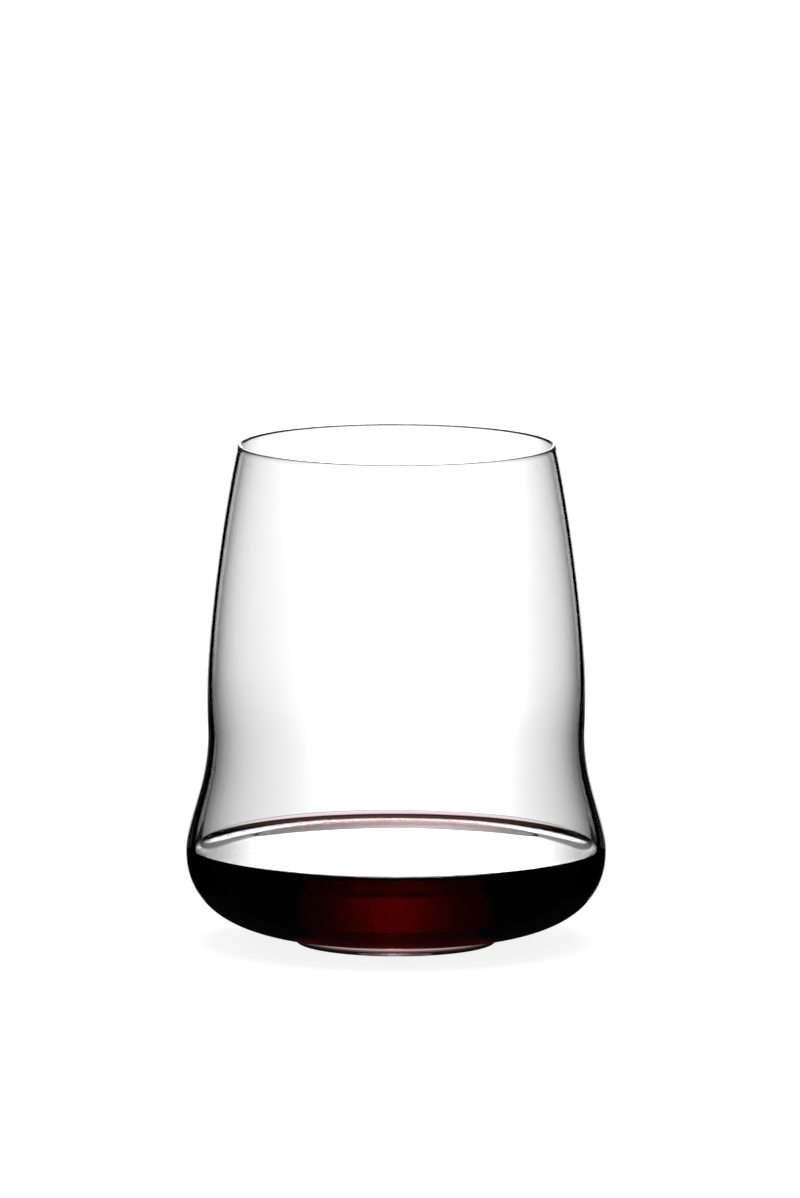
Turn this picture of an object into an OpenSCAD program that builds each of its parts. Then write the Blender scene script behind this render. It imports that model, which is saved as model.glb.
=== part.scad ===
// Stemless wine glass: a thin blown bowl on a low solid foot, with a shallow pour of red wine in it.
// It stands on the plane z = 0, with its axis on the z axis. Lengths are millimetres, angles degrees.

/* [Bowl outline] */
// Height from the table to the rim
glass_h = 120; // [110:0.5:135]
// Outer diameter at the rim
rim_d = 76.1; // [66:0.1:84]
// Lean of the wall at the rim, from upright
rim_lean = 14.2; // [4:0.1:18]
// Outer diameter at the bulge, the widest place above the waist
bulge_d = 90.5; // [87.5:0.1:95]
// Height of the bulge
bulge_z = 61.3; // [58:0.1:72]
// Outer diameter at the waist
waist_d = 90.1; // [85:0.1:94]
// Height of the waist
waist_z = 50.1; // [44:0.1:54]
// Outer diameter at the belly, the widest place of the glass
belly_d = 100.6; // [95:0.1:108]
// Height of the belly
belly_z = 21.9; // [18:0.1:28]
// Rise of the underside where it leaves the foot, from level
base_slope = 3.9; // [0:0.1:6]

/* [Bowl wall] */
// Wall at the rim
rim_wall = 1; // [0.7:0.05:1.6]
// Wall at the bulge
bulge_wall = 1.05; // [0.8:0.05:2]
// Wall at the waist
waist_wall = 1.3; // [0.9:0.05:2.5]
// Wall at the belly
belly_wall = 2; // [1.2:0.05:3.5]
// Wall above the edge of the foot
base_wall = 2.5; // [1.6:0.05:5]
// Wall on the axis
floor_wall = 2.1; // [1.4:0.05:4.5]

/* [Foot] */
// Diameter of the foot
foot_d = 47.6; // [38:0.1:56]
// Height of the foot, where the bowl is fused to it
foot_h = 2; // [1.6:0.05:4]
// Rounding of the foot's lower edge
foot_edge_r = 0.3; // [0.15:0.05:0.6]
// Flare of fused glass where the foot meets the bowl
weld = 0.35; // [0.2:0.05:0.9]
// Width of the ring that the glass rests on
rest_w = 2.4; // [1:0.1:5]
// Depth of the hollow inside that ring
punt_h = 0.3; // [0.15:0.05:1]

/* [Wine] */
// Height of the level part of the wine's surface above the table
wine_level = 20.9; // [12:0.1:45]
// Climb of the wine up the wall
meniscus_h = 2.3; // [0.5:0.1:3.5]
// Capillary length of the wine, which sets how far from the wall its surface is curved
capillary = 2.2; // [1.6:0.05:2.7]
// Space between wine and glass
wine_gap = 0.05; // [0.02:0.01:0.2]

/* [Hidden] */
// Facets around the axis, and steps along a curve of an outline and round a small edge
$fn = 96;
steps = 14;
edge_steps = 8;
// How far an outline runs past what it cuts
overrun = 2;
// How far the two handles of each curve of the side reach, from the rim down, as shares of its height.
// The last one is a share of its width.
upper_shares = [0.15, 0.32];
shoulder_shares = [0.7, 0.15];
waist_shares = [0.42, 0.28];
belly_shares = [0.716, 0.495];
// How far the floor's handles reach, as a share of its width
floor_share = 0.35;
// Root of the share of the wine's climb at which its surface is taken as level
level_root_share = 0.05;

neck_r = foot_d / 2 + weld;
floor_z = foot_h + floor_wall;
rim_lip = rim_wall / 2;
// Centre of the rim's rounding, and the step from there to the outer face of the wall
rim_mid = [rim_d / 2 - rim_lip * cos(rim_lean), glass_h - rim_lip];
rim_step = rim_lip * [cos(rim_lean), sin(rim_lean)];
wine_top = wine_level + meniscus_h;

// Stations of the outer side, from the rim down
rim = rim_mid + rim_step;
bulge = [bulge_d / 2, bulge_z];
waist = [waist_d / 2, waist_z];
belly = [belly_d / 2, belly_z];
base = [neck_r, foot_h];
// Four curves through them, each with its two handles. They meet upright at bulge, waist and belly.
side_curves = [
    [rim, rim + upper_shares[0] * (rim.y - bulge.y) * [sin(rim_lean), -cos(rim_lean)],
        bulge + [0, upper_shares[1] * (rim.y - bulge.y)], bulge],
    [bulge, bulge - [0, shoulder_shares[0] * (bulge.y - waist.y)],
        waist + [0, shoulder_shares[1] * (bulge.y - waist.y)], waist],
    [waist, waist - [0, waist_shares[0] * (waist.y - belly.y)],
        belly + [0, waist_shares[1] * (waist.y - belly.y)], belly],
    [belly, belly - [0, belly_shares[0] * (belly.y - base.y)],
        base + belly_shares[1] * (belly.x - base.x) * [cos(base_slope), sin(base_slope)], base]
];
// Each place on them: a curve's number and the share of the way along it
side_places = concat([for (k = [0 : 3]) for (i = [0 : steps - 1]) [k, i / steps]], [[3, 1]]);

// Heights of the stations, the wall at each, and its slope there: that of a line past its neighbours
wall_heights = [glass_h, bulge_z, waist_z, belly_z, foot_h];
walls = [rim_wall, bulge_wall, waist_wall, belly_wall, base_wall];
wall_slopes = [for (i = [0 : 4]) let (a = max(i - 1, 0), b = min(i + 1, 4))
    (walls[b] - walls[a]) / (wall_heights[b] - wall_heights[a])];

function bezier(p, t) =
    pow(1 - t, 3) * p[0] + 3 * pow(1 - t, 2) * t * p[1] + 3 * (1 - t) * pow(t, 2) * p[2] + pow(t, 3) * p[3];

// Direction of such a curve, as a unit vector
function heading(p, t) =
    let (v = pow(1 - t, 2) * (p[1] - p[0]) + 2 * (1 - t) * t * (p[2] - p[1]) + pow(t, 2) * (p[3] - p[2]))
    v / norm(v);

// Wall at height z: from one station to the next it keeps to their walls and slopes, with no step
function wall_at(z) =
    let (
        i = min([for (k = [0 : 3]) if (z >= wall_heights[k + 1]) k]),
        run = wall_heights[i + 1] - wall_heights[i],
        third = run / 3
    )
    bezier(
        [walls[i], walls[i] + third * wall_slopes[i],
            walls[i + 1] - third * wall_slopes[i + 1], walls[i + 1]],
        (z - wall_heights[i]) / run
    );

// Points of an arc of radius r from angle a to angle b
function arc(centre, r, a, b) =
    [for (i = [0 : edge_steps]) let (t = a + (b - a) * i / edge_steps) centre + r * [cos(t), sin(t)]];

function reversed(points) = [for (i = [len(points) - 1 : -1 : 0]) points[i]];

outer_side = [for (s = side_places) bezier(side_curves[s[0]], s[1])];
// The inner side lies square to the outer one, at the distance of the wall there
inner_side = [for (s = side_places)
    let (p = bezier(side_curves[s[0]], s[1]), h = heading(side_curves[s[0]], s[1]))
    p + wall_at(p.y) * [h.y, -h.x]];
// Floor of the bowl from the end of the inner side to the axis
floor_start = inner_side[len(inner_side) - 1];
floor_curve = [floor_start, floor_start - floor_share * neck_r * [cos(base_slope), sin(base_slope)],
    [floor_share * neck_r, floor_z], [0, floor_z]];
floor_line = [for (i = [0 : steps]) bezier(floor_curve, i / steps)];
// Radius of the cavity where the wine's edge meets the wall
wine_edge_r = lookup(wine_top, [for (p = reversed(inner_side)) [p.y, p.x]]);

// Blown bowl: a closed shell with a rounded rim and a flat patch below, which is fused to the foot
module bowl() {
    color("gainsboro", 0.4)
    rotate_extrude()
    polygon(concat(
        outer_side,
        [[0, foot_h]],
        reversed(floor_line),
        [for (i = [len(inner_side) - 2 : -1 : 1]) inner_side[i]],
        reversed(arc(rim_mid, rim_lip, rim_lean, rim_lean + 180))
    ));
}

// Solid foot: a disc that rests on a ring round a shallow hollow, and flares where it meets the bowl
module foot() {
    rest_r = foot_d / 2 - foot_edge_r;
    hollow_r = rest_r - rest_w;
    // The hollow is a part of a ball, as deep as punt_h
    ball_r = (pow(hollow_r, 2) + pow(punt_h, 2)) / (2 * punt_h);
    ball_z = punt_h - ball_r;
    hollow_angle = asin(hollow_r / ball_r);
    color("lightgrey", 0.6)
    rotate_extrude()
    polygon(concat(
        [[0, foot_h], [neck_r, foot_h], [foot_d / 2, foot_h - weld]],
        reversed(arc([rest_r, foot_edge_r], foot_edge_r, -90, 0)),
        [for (i = [edge_steps : -1 : 1]) let (a = hollow_angle * i / edge_steps)
            [ball_r * sin(a), ball_z + ball_r * cos(a)]],
        [[0, punt_h]]
    ));
}

// How far the surface of the wine, where it stands h above its level, lies from an upright wall that
// would hold it up as high as surface tension can
function meniscus_away(h) =
    let (ratio = 2 * capillary / h)
    capillary * ln(ratio + sqrt(pow(ratio, 2) - 1)) - sqrt(pow(2 * capillary, 2) - pow(h, 2));

// Wine: it fills the bowl up to its level, and its surface climbs the wall by itself
module wine() {
    // Climb from the wall to where the surface is level, in even steps of its root
    climbs = [for (i = [0 : steps]) meniscus_h * pow(1 - (1 - level_root_share) * i / steps, 2)];
    color([0.28, 0.01, 0.04])
    intersection() {
        rotate_extrude()
        polygon(concat(
            [[0, glass_h]],
            [for (p = inner_side) p + [-wine_gap, wine_gap]],
            [for (i = [1 : len(floor_line) - 2]) floor_line[i] + [0, wine_gap]],
            [[0, floor_z + wine_gap]]
        ));
        rotate_extrude()
        polygon(concat(
            [[0, 0], [wine_edge_r + overrun, 0], [wine_edge_r + overrun, wine_top]],
            [for (i = [0 : steps])
                [wine_edge_r + meniscus_away(meniscus_h) - meniscus_away(climbs[i]),
                    wine_level + climbs[i] - climbs[steps] * i / steps]],
            [[0, wine_level]]
        ));
    }
}

bowl();
foot();
wine();
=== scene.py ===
import bpy
import numpy as np
from mathutils import Matrix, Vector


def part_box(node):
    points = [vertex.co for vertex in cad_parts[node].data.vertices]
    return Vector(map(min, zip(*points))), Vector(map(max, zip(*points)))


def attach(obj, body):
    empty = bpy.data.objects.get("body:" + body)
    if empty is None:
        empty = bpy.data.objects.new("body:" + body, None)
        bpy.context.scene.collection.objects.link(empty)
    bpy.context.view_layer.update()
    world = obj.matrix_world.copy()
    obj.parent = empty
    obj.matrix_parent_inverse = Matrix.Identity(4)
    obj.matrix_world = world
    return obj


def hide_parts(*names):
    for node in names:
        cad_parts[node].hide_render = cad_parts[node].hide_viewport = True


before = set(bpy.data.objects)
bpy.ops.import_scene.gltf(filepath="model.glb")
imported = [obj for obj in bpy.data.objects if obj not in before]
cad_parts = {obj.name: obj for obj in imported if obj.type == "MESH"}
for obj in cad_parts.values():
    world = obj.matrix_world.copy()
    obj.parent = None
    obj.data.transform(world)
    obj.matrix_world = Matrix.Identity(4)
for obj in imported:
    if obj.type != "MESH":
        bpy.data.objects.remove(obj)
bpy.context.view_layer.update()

# Glass
# The real piece is clear crystal, blown thin in a turned mould and fused to a low solid foot. Its wall
# thickens from the rim to the belly, the rim is melted round, and the foot rests on a ring round a
# shallow hollow. Bowl and foot are one body of glass, so no joint shows between them.
mm = 0.001
foot_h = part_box("foot")[1][2]
rim_lean, base_slope = np.radians(14.2), np.radians(3.9)
rim_r, rim_z = 38.05 * mm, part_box("bowl")[1][2]
bulge_r, bulge_z = 45.25 * mm, 61.3 * mm
waist_r, waist_z = 45.05 * mm, 50.1 * mm
belly_r, belly_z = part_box("bowl")[1][0], 21.9 * mm
rim_wall, bulge_wall, waist_wall = 1.0 * mm, 1.05 * mm, 1.3 * mm
belly_wall, base_wall, floor_wall = 2.0 * mm, 2.5 * mm, 2.1 * mm
foot_r, foot_edge_r, weld = 23.8 * mm, 0.15 * mm, 0.35 * mm
rest_w, punt_h = 2.4 * mm, 0.3 * mm
# Handles of the side's four curves, from the rim down, as shares of the curve's height. The last of
# them and the floor's are shares of a width.
upper_shares, shoulder_shares = (0.15, 0.32), (0.7, 0.15)
waist_shares, belly_shares, floor_share = (0.42, 0.28), (0.716, 0.495), 0.35
up = np.array([0.0, 1.0])


def curve(start, handle_a, handle_b, end, steps=36):
    """Points of a cubic curve and its headings there: the four given points weighted by the cubic
    shares of t, and the steps between them weighted by the quadratic shares of t."""
    t = np.linspace(0, 1, steps, endpoint=False)[:, None]
    a, b, c, d = (np.asarray(p, float) for p in (start, handle_a, handle_b, end))
    points = (1 - t) ** 3 * a + 3 * (1 - t) ** 2 * t * b + 3 * (1 - t) * t**2 * c + t**3 * d
    ways = (1 - t) ** 2 * (b - a) + 2 * (1 - t) * t * (c - b) + t**2 * (d - c)
    return points, ways / np.linalg.norm(ways, axis=1, keepdims=True)


def arc(centre, r, a, b, steps):
    """Points of an arc about centre: r times the cosine and sine of angles evenly spaced from a to b."""
    angle = np.linspace(a, b, steps + 1)
    return np.asarray(centre) + r * np.stack([np.cos(angle), np.sin(angle)], 1)


def wall_at(z):
    """Wall at height z: cubic from one station to the next, which keeps to the walls there and to
    slopes that are those of a line past the neighbours."""
    heights = np.array([foot_h, belly_z, waist_z, bulge_z, rim_z])
    walls = np.array([base_wall, belly_wall, waist_wall, bulge_wall, rim_wall])
    before, after = np.array([0, 0, 1, 2, 3]), np.array([1, 2, 3, 4, 4])
    slopes = (walls[after] - walls[before]) / (heights[after] - heights[before])
    i = np.clip(np.searchsorted(heights, z, "right") - 1, 0, 3)
    run = heights[i + 1] - heights[i]
    t = (z - heights[i]) / run
    return (
        (1 + 2 * t) * (1 - t) ** 2 * walls[i] + t * (1 - t) ** 2 * run * slopes[i]
        + t**2 * (3 - 2 * t) * walls[i + 1] - t**2 * (1 - t) * run * slopes[i + 1])


def turned(name, outline, around=256):
    """A body turned about the z axis: each outline point (r, z) gives the ring (r cos a, r sin a, z).
    The first and last points lie on the axis and close it, and the outline runs so that faces point out."""
    a = np.linspace(0, 2 * np.pi, around, endpoint=False)
    rings, (r, z) = len(outline) - 2, outline[1:-1].T
    ring_points = np.stack([np.outer(r, np.cos(a)), np.outer(r, np.sin(a)), np.outer(z, np.ones(around))], 2)
    poles = [[0, 0, outline[0, 1]], [0, 0, outline[-1, 1]]]
    points = np.concatenate([ring_points.reshape(-1, 3), poles])
    here = np.arange(around)
    after = np.roll(here, -1)
    row = np.arange(rings - 1)[:, None] * around
    quads = np.stack([row + here, row + here + around, row + after + around, row + after], 2)
    first = np.stack([np.full(around, rings * around), here, after], 1)
    end = (rings - 1) * around
    last = np.stack([np.full(around, rings * around + 1), end + after, end + here], 1)
    mesh = bpy.data.meshes.new(name)
    mesh.from_pydata(points.tolist(), [], quads.reshape(-1, 4).tolist() + first.tolist() + last.tolist())
    mesh.shade_smooth()
    piece = bpy.data.objects.new(name, mesh)
    bpy.context.scene.collection.objects.link(piece)
    return piece


# The outer side runs down from the rim, in four curves that meet at bulge, waist and belly
neck_r = foot_r + weld
rim_lip = rim_wall / 2
rim_mid = np.array([rim_r - rim_lip * np.cos(rim_lean), rim_z - rim_lip])
rim = rim_mid + rim_lip * np.array([np.cos(rim_lean), np.sin(rim_lean)])
bulge = np.array([bulge_r, bulge_z])
waist = np.array([waist_r, waist_z])
belly = np.array([belly_r, belly_z])
base = np.array([neck_r, foot_h])
leaning = np.array([np.sin(rim_lean), -np.cos(rim_lean)])
sloping = np.array([np.cos(base_slope), np.sin(base_slope)])
upper_h, shoulder_h = rim[1] - bulge_z, bulge_z - waist_z
waist_h, belly_h = waist_z - belly_z, belly_z - foot_h
stretches = [
    curve(rim, rim + upper_shares[0] * upper_h * leaning,
          bulge + upper_shares[1] * upper_h * up, bulge),
    curve(bulge, bulge - shoulder_shares[0] * shoulder_h * up,
          waist + shoulder_shares[1] * shoulder_h * up, waist),
    curve(waist, waist - waist_shares[0] * waist_h * up,
          belly + waist_shares[1] * waist_h * up, belly),
    curve(belly, belly - belly_shares[0] * belly_h * up,
          base + belly_shares[1] * (belly_r - neck_r) * sloping, base),
    ([base], [-sloping]),
]
outer_side = np.concatenate([points for points, headings in stretches])
headings = np.concatenate([headings for points, headings in stretches])
# The inner side lies square to the outer one, at the distance of the wall there
inwards = np.stack([headings[:, 1], -headings[:, 0]], 1)
inner_side = outer_side + wall_at(outer_side[:, 1])[:, None] * inwards
floor_z, floor_reach = foot_h + floor_wall, floor_share * neck_r
floor_start, floor_mid = inner_side[-1], (0, floor_z)
floor_curve, _ = curve(floor_start, floor_start - floor_reach * sloping, (floor_reach, floor_z), floor_mid)
floor_line = np.concatenate([floor_curve, [floor_mid]])
# The hollow under the foot is a part of a ball
rest_r = foot_r - foot_edge_r
hollow_r = rest_r - rest_w
ball_r = (hollow_r**2 + punt_h**2) / (2 * punt_h)
hollow_angle = np.arcsin(hollow_r / ball_r)
rim_steps, edge_steps, hollow_steps = 14, 8, 16
glass_outline = np.concatenate([
    floor_line[::-1],
    inner_side[-2:0:-1],
    arc(rim_mid, rim_lip, rim_lean + np.pi, rim_lean, rim_steps)[:-1],
    outer_side[:-1],
    arc((neck_r, foot_h - weld), weld, np.pi / 2, np.pi, edge_steps),
    arc((rest_r, foot_edge_r), foot_edge_r, 0, -np.pi / 2, edge_steps),
    arc((0, punt_h - ball_r), ball_r, np.pi / 2 - hollow_angle, np.pi / 2, hollow_steps),
])
glass = turned("glass", glass_outline)


class Value:
    """A socket that can be added to, multiplied and so on, which adds the Math node for it."""

    def __init__(self, tree, socket):
        self.tree, self.socket = tree, socket

    def math(self, operation, *inputs):
        return node(self.tree, "ShaderNodeMath", {"operation": operation}, dict(enumerate(inputs)))

    def __add__(self, other):
        return self.math("ADD", self, other)

    def __sub__(self, other):
        return self.math("SUBTRACT", self, other)

    def __rsub__(self, other):
        return self.math("SUBTRACT", other, self)

    def __mul__(self, other):
        return self.math("MULTIPLY", self, other)

    def __truediv__(self, other):
        return self.math("DIVIDE", self, other)

    def __rtruediv__(self, other):
        return self.math("DIVIDE", other, self)

    def __neg__(self):
        return self.math("MULTIPLY", self, -1)

    __radd__, __rmul__ = __add__, __mul__

    def exp(self):
        return self.math("EXPONENT", self)

    def size(self):
        return self.math("ABSOLUTE", self)

    def power(self, other):
        return self.math("POWER", self, other)

    def at_least(self, other):
        return self.math("MAXIMUM", self, other)

    def ramp(self, low, high):
        """0 below low, 1 above high, and a smooth step between them."""
        return node(self.tree, "ShaderNodeMapRange", {"interpolation_type": "SMOOTHSTEP"}, {
            "Value": self, "From Min": low, "From Max": high, "To Min": 0.0, "To Max": 1.0})

    def band(self, start, full, fall, end):
        """0 below start, 1 from full to fall, 0 above end, and smooth steps between them."""
        return self.ramp(start, full) * (1 - self.ramp(fall, end))

    def get(self, name):
        """Another output of the same node."""
        return Value(self.tree, self.socket.node.outputs[name])


def node(tree, kind, settings, inputs):
    """Adds any node: settings are set first, then each socket gets its value or its link."""
    made = tree.nodes.new(kind)
    for name, setting in settings.items():
        setattr(made, name, setting)
    for name, given in inputs.items():
        if isinstance(given, Value):
            tree.links.new(given.socket, made.inputs[name])
        else:
            made.inputs[name].default_value = given
    return Value(tree, next((s for s in made.outputs if s.enabled), None) if made.outputs else None)


def material(name):
    """An empty material, with the tree that its nodes go into."""
    made = bpy.data.materials.new(name)
    made.use_nodes = True
    made.node_tree.nodes.clear()
    return made, made.node_tree


def place(tree):
    """Where a point lies on its object, to read X, Y and Z from."""
    point = node(tree, "ShaderNodeTexCoord", {}, {}).get("Object")
    return node(tree, "ShaderNodeSeparateXYZ", {}, {"Vector": point})


def shaded(tree, colour, share):
    """A colour times a share that changes over the surface."""
    return node(tree, "ShaderNodeVectorMath", {"operation": "SCALE"}, {"Vector": colour, "Scale": share})


# Light that goes to and fro in the wall many times leaves it at the rim and at the top of the foot's
# side. A render stops following it, so the surface's emission paints in what would come out there: a
# painted trace of light on the rim's lip and a thin painted pinkish line of light under the bowl, which
# shows from outside only.
lip_glow_colour, lip_ramp_mm = (0.03, 0.03, 0.03), (119.3, 119.7)
line_glow_colour, line_low_share, line_mid_share = (0.48, 0.32, 0.32), 0.015, 0.28
line_low_mm, line_high_mm, line_top_mm = (0.75, 1.15), (1.2, 1.4), (1.65, 1.85)
crystal, tree = material("clear_crystal")
z_mm = place(tree).get("Z") / mm
outside = 1 - node(tree, "ShaderNodeNewGeometry", {}, {}).get("Backfacing")
lip_light = shaded(tree, lip_glow_colour, z_mm.ramp(*lip_ramp_mm))
line_share = line_low_share + (line_mid_share - line_low_share) * z_mm.ramp(*line_low_mm)
line_share = line_share + (1 - line_mid_share) * z_mm.ramp(*line_high_mm)
line_light = shaded(tree, line_glow_colour, line_share * (1 - z_mm.ramp(*line_top_mm)) * outside)
leaving_light = node(tree, "ShaderNodeVectorMath", {"operation": "ADD"}, {0: lip_light, 1: line_light})
polished = node(tree, "ShaderNodeBsdfPrincipled", {}, {
    "Base Color": (1, 1, 1, 1),
    "Roughness": 0.0,
    "IOR": 1.5,
    "Transmission Weight": 1.0,
    "Emission Color": leaving_light,
    "Emission Strength": 1.0,
})
node(tree, "ShaderNodeOutputMaterial", {}, {"Surface": polished})
glass.data.materials.append(crystal)
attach(glass, "root")
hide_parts("bowl", "foot")

# Wine
# A shallow pour of deep red wine, level in the middle, which climbs the wall in the thin curved rim
# that surface tension gives. It wets the glass, so its body runs a hair's breadth into the wall, and
# less and less so towards its edge, and no air shows between them.
wine_level, meniscus_h, capillary = 20.9 * mm, 2.3 * mm, 2.2 * mm
wetting, wetting_fade_h, edge_gap = 0.25 * mm, 4 * mm, 0.02 * mm
least_wetting_share, least_climb_share = 0.04, 0.0025


def meniscus(climb, steps=64):
    """Distance from the wall and height above the level, from far off to the wall: the distance is
    the capillary length times arcosh(2 lengths / height), less the root of (2 lengths)² - height²."""
    height = climb * np.linspace(np.sqrt(least_climb_share), 1, steps) ** 2
    reach = 2 * capillary
    away = capillary * np.arccosh(reach / height) - np.sqrt(reach**2 - height**2)
    return np.stack([away - away[-1], height], 1)


wine_top = wine_level + meniscus_h
inner_up = inner_side[::-1]
wine_edge_r = np.interp(wine_top, inner_up[:, 1], inner_up[:, 0])
wetted = inner_side[inner_side[:, 1] < wine_top - edge_gap]
depth = wetting * np.clip((wine_top - wetted[:, 1]) / wetting_fade_h, least_wetting_share, 1)
wine_outline = np.concatenate([
    [[0, wine_level]],
    meniscus(meniscus_h) * [-1, 1] + [wine_edge_r, wine_level],
    wetted + depth[:, None] * [1, -1],
    floor_line[1:] - [0, wetting],
])
wine = turned("poured_wine", wine_outline)
# The wine takes a part of the red light on its way through, and nearly all of the green and blue
red, tree = material("red_wine")
liquid = node(tree, "ShaderNodeBsdfPrincipled", {}, {
    "Base Color": (1, 1, 1, 1),
    "Roughness": 0.0,
    "IOR": 1.34,
    "Transmission Weight": 1.0,
})
dye = node(tree, "ShaderNodeVolumeAbsorption", {}, {"Color": (0.915, 0.0, 0.04, 1), "Density": 550.0})
node(tree, "ShaderNodeOutputMaterial", {}, {"Surface": liquid, "Volume": dye})
wine.data.materials.append(red)
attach(wine, "root")
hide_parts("wine")

# Table
# A plain pale table top under the glass. It glows a little, as a light table does, so that it stays
# near white and still keeps the soft shadow of the glass. Glass and wine don't show it.
table_w, table_glow = 60, 0.87
bpy.ops.mesh.primitive_plane_add(size=table_w, location=(0, 0, 0))
table = bpy.context.object
table.name = "table_top"
pale, tree = material("table_top")
seen = node(tree, "ShaderNodeLightPath", {}, {}).get("Is Camera Ray")
matt = node(tree, "ShaderNodeBsdfDiffuse", {}, {"Color": (0.4, 0.4, 0.4, 1)})
glow = node(tree, "ShaderNodeEmission", {}, {"Color": (1, 1, 1, 1), "Strength": seen * table_glow})
glowing_matt = node(tree, "ShaderNodeAddShader", {}, {0: matt, 1: glow})
node(tree, "ShaderNodeOutputMaterial", {}, {"Surface": glowing_matt})
table.data.materials.append(pale)
table.visible_glossy = table.visible_transmission = False

# Camera
# A long lens from a little above. Height, distance and roll are those that the ellipses of rim, wine
# and foot give in the photograph, whose pixels are the unit of lengths on the picture.
camera_d, camera_rise, aim_z = 4.4, np.radians(8.268), 60 * mm
focal_px, frame_w_px, frame_h_px = 18400, 800, 1198
axis_x_px, aim_y_px, camera_roll = 396.5, 693.07, np.radians(0.1)
film_w, far_clip = 36, 100
camera_data = bpy.data.cameras.new("camera")
camera = bpy.data.objects.new("camera", camera_data)
bpy.context.scene.collection.objects.link(camera)
bpy.context.scene.camera = camera
camera_data.sensor_width = film_w
camera_data.lens = film_w * focal_px / frame_h_px
camera_data.clip_end = far_clip
nod = np.arctan((aim_y_px - frame_h_px / 2) / focal_px)
yaw = np.arctan((frame_w_px / 2 - axis_x_px) / focal_px)
camera.location = (0, -camera_d * np.cos(camera_rise), aim_z + camera_d * np.sin(camera_rise))
turn = (
    Matrix.Rotation(-yaw, 4, "Z")
    @ Matrix.Rotation(np.pi / 2 - camera_rise + nod, 4, "X")
    @ Matrix.Rotation(camera_roll, 4, "Z"))
camera.rotation_euler = turn.to_euler()

# Lit sheet
# One tall lit sheet, a part of a ball round the glass, hangs behind it with darkness on both sides. It
# goes round with the camera, as on a turntable, so that the glass is drawn by its dark edges from every
# side. Only glass and wine show it.
sheet_r, columns, rows = 2.0, 49, 51
sheet_side, sheet_low, sheet_high = np.radians(60), np.radians(-50), np.radians(75)
column_angle, row_angle = np.meshgrid(
    np.linspace(-sheet_side, sheet_side, columns), np.linspace(sheet_low, sheet_high, rows))
sheet_points = sheet_r * np.stack([
    np.cos(row_angle) * np.sin(column_angle),
    np.sin(row_angle),
    -np.cos(row_angle) * np.cos(column_angle),
], 2).reshape(-1, 3)
sheet_points[:, 2] -= camera_d
corner = (np.arange(rows - 1)[:, None] * columns + np.arange(columns - 1)).reshape(-1, 1)
sheet_faces = corner + [0, 1, columns + 1, columns]
sheet_mesh = bpy.data.meshes.new("lit_sheet")
sheet_mesh.from_pydata(sheet_points.tolist(), [], sheet_faces.tolist())
sheet = bpy.data.objects.new("lit_sheet", sheet_mesh)
bpy.context.scene.collection.objects.link(sheet)
sheet.parent = camera
# The light goes by the direction from the glass, in degrees to the side and up. A ramp or a band names
# the angles between which it comes or goes, and a strength of 1 is white.
glowing, tree = material("lit_sheet")
spot = place(tree)
degree, middle_side = 180 / np.pi, 0.4
side_angle = spot.math("ARCTAN2", spot.get("X"), -(spot.get("Z") + camera_d)) * degree
side = (side_angle - middle_side).size()
rise = spot.math("ARCSINE", spot.get("Y") / sheet_r) * degree
climbing = rise.at_least(0.0)
# The cloth is dimmer towards the sides and upwards. Its light reaches further out where the wall shows
# it, and low down it is nearly dark, but for a faint slat that lights the wine from below.
cloth_w, cloth_more_w, cloth_fall, cloth_more_fall = 8.2, 2.6, 2, 2
cloth_strength, cloth_more, cloth_more_ramp = 1.1, 0.08, (-1, 3)
wall_band, upper_dimming, upper_ramp = (-3, 1.5, 5, 12), 0.75, (20, 30)
dark_strength, dark_ramp = 0.03, (-24.3, -22.5)
lowest_strength, lowest_ramp = 0.07, (-30, -26)
slat_strength, slat_band = 0.4, (-38.6, -37.8, -36.6, -35.6)
broad = rise.band(*wall_band)
spread = (side / (cloth_w + cloth_more_w * broad)).power(cloth_fall + cloth_more_fall * broad)
cloth = (cloth_strength + cloth_more * rise.ramp(*cloth_more_ramp)) / (1 + spread)
cloth = cloth * (1 - upper_dimming * rise.ramp(*upper_ramp))
low_part = dark_strength + (1 - dark_strength) * rise.ramp(*dark_ramp)
low_part = low_part + lowest_strength * (1 - rise.ramp(*lowest_ramp)) + slat_strength * rise.band(*slat_band)
cloth = cloth * low_part
# A bright hem, which the outermost edge of the glass shows, and beyond it a sharp end
hem_ramp, hem_band, hem_lift_ramp = (9, 12), (-2, 1, 5, 9), (-2, 1)
end_ramp, end_further = (11.5, 12.7), 2.5
cloth = cloth + side.ramp(*hem_ramp) * rise.band(*hem_band)
cloth = cloth * (1 - (side - end_further * rise.ramp(*hem_lift_ramp)).ramp(*end_ramp))
# A beam up the middle, which widens upwards, gives the wine its red middle. Above it a canopy lights
# the upturned edge of the wine.
beam_w, beam_more_w, beam_widening = 1.4, 0.9, 0.213
beam_strength, beam_more, beam_brightening = 1.1, 0.5, 0.17
beam_more_ramp, beam_band = (1, 6), (-6, -4.2, 15.5, 17.5)
canopy_strength, canopy_band, canopy_ramp = 8.0, (21, 25, 44, 49), (5, 9)
beam_reach = beam_w + beam_more_w * rise.ramp(*beam_more_ramp) + beam_widening * climbing
beam = beam_strength + beam_more * rise.ramp(*beam_more_ramp) + beam_brightening * climbing
beam = beam * (-(side / beam_reach).power(2)).exp() * rise.band(*beam_band)
canopy = canopy_strength * rise.band(*canopy_band) * (1 - side.ramp(*canopy_ramp))
light = node(tree, "ShaderNodeEmission", {}, {"Color": (1, 1, 1, 1), "Strength": cloth + beam + canopy})
node(tree, "ShaderNodeOutputMaterial", {}, {"Surface": light})
sheet.data.materials.append(glowing)
sheet.visible_camera = sheet.visible_diffuse = sheet.visible_shadow = False
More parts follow.
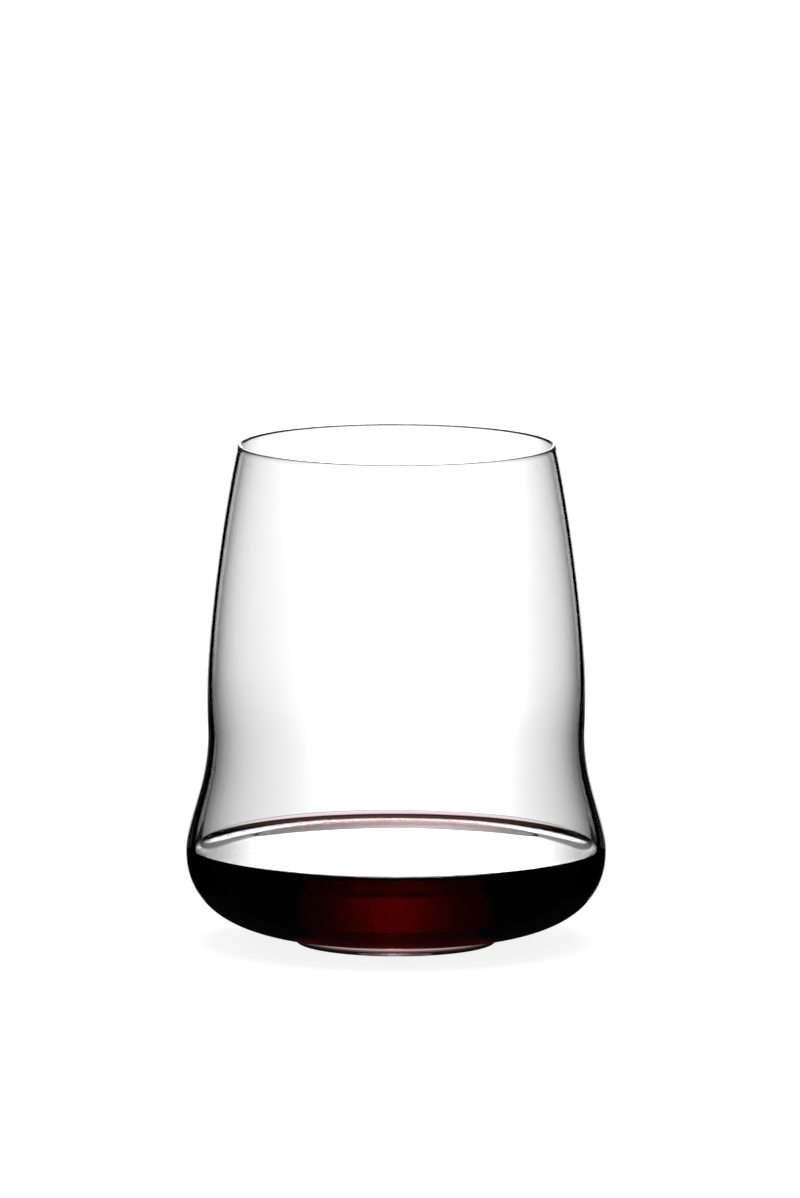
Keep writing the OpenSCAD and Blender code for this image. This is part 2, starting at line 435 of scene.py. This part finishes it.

# Painted shade under the glass
# A round disc just under the table, where only glass and wine show it. It is painted shade, nearly
# black, which stands for the shade on the table under the glass, so that the wine is dark where it
# looks down. In the middle lies a faint painted warm pool of light, where glass and wine gather light.
shade_disc_r, shade_disc_drop, shade_disc_sides = 62 * mm, 0.3 * mm, 96
pooled_light_strength, pooled_light_edge_mm, shade_strength = 0.15, (14, 22), 0.005
bpy.ops.mesh.primitive_circle_add(
    vertices=shade_disc_sides, radius=shade_disc_r, fill_type="NGON", location=(0, 0, -shade_disc_drop))
shade_disc = bpy.context.object
shade_disc.name = "painted_shade_and_glow"
shade, tree = material("painted_shade_and_glow")
shade_disc_spot = place(tree)
r_mm = (shade_disc_spot.get("X").power(2) + shade_disc_spot.get("Y").power(2)).power(0.5) / mm
# A painted warm pool of light in the middle, over the painted shade of the rest
pooled_light_level = pooled_light_strength * (1 - r_mm.ramp(*pooled_light_edge_mm))
painted_pooled_light = node(tree, "ShaderNodeEmission", {}, {"Color": (1.0, 0.45, 0.2, 1), "Strength": pooled_light_level})
painted_shade = node(tree, "ShaderNodeEmission", {}, {"Color": (1, 1, 1, 1), "Strength": shade_strength})
shade_with_pooled_light = node(tree, "ShaderNodeAddShader", {}, {0: painted_pooled_light, 1: painted_shade})
node(tree, "ShaderNodeOutputMaterial", {}, {"Surface": shade_with_pooled_light})
shade_disc.data.materials.append(shade)
shade_disc.visible_camera = shade_disc.visible_diffuse = shade_disc.visible_shadow = False

# Lamp and backdrop
# A round soft lamp straight above gives the table the shadow. The backdrop is white for the camera and
# nearly black for glass and wine, which take their light from the sheet.
lamp_w, lamp_z, lamp_power = 2.0, 2.2, 30
backdrop_fill, backdrop_dark = 0.3, 0.005
lamp_data = bpy.data.lights.new("top_lamp", "AREA")
lamp_data.shape = "DISK"
lamp_data.size = lamp_w
lamp_data.energy = lamp_power
lamp = bpy.data.objects.new("top_lamp", lamp_data)
lamp.location = (0, 0, lamp_z)
lamp.visible_glossy = lamp.visible_transmission = False
bpy.context.scene.collection.objects.link(lamp)
backdrop = bpy.data.worlds.new("backdrop")
bpy.context.scene.world = backdrop
backdrop.use_nodes = True
tree = backdrop.node_tree
tree.nodes.clear()
rays = node(tree, "ShaderNodeLightPath", {}, {})
strength = rays.get("Is Camera Ray") + rays.get("Is Diffuse Ray") * backdrop_fill + backdrop_dark
white = node(tree, "ShaderNodeBackground", {}, {"Color": (1, 1, 1, 1), "Strength": strength})
node(tree, "ShaderNodeOutputWorld", {}, {"Surface": white})
bpy.context.scene.view_settings.view_transform = "Standard"
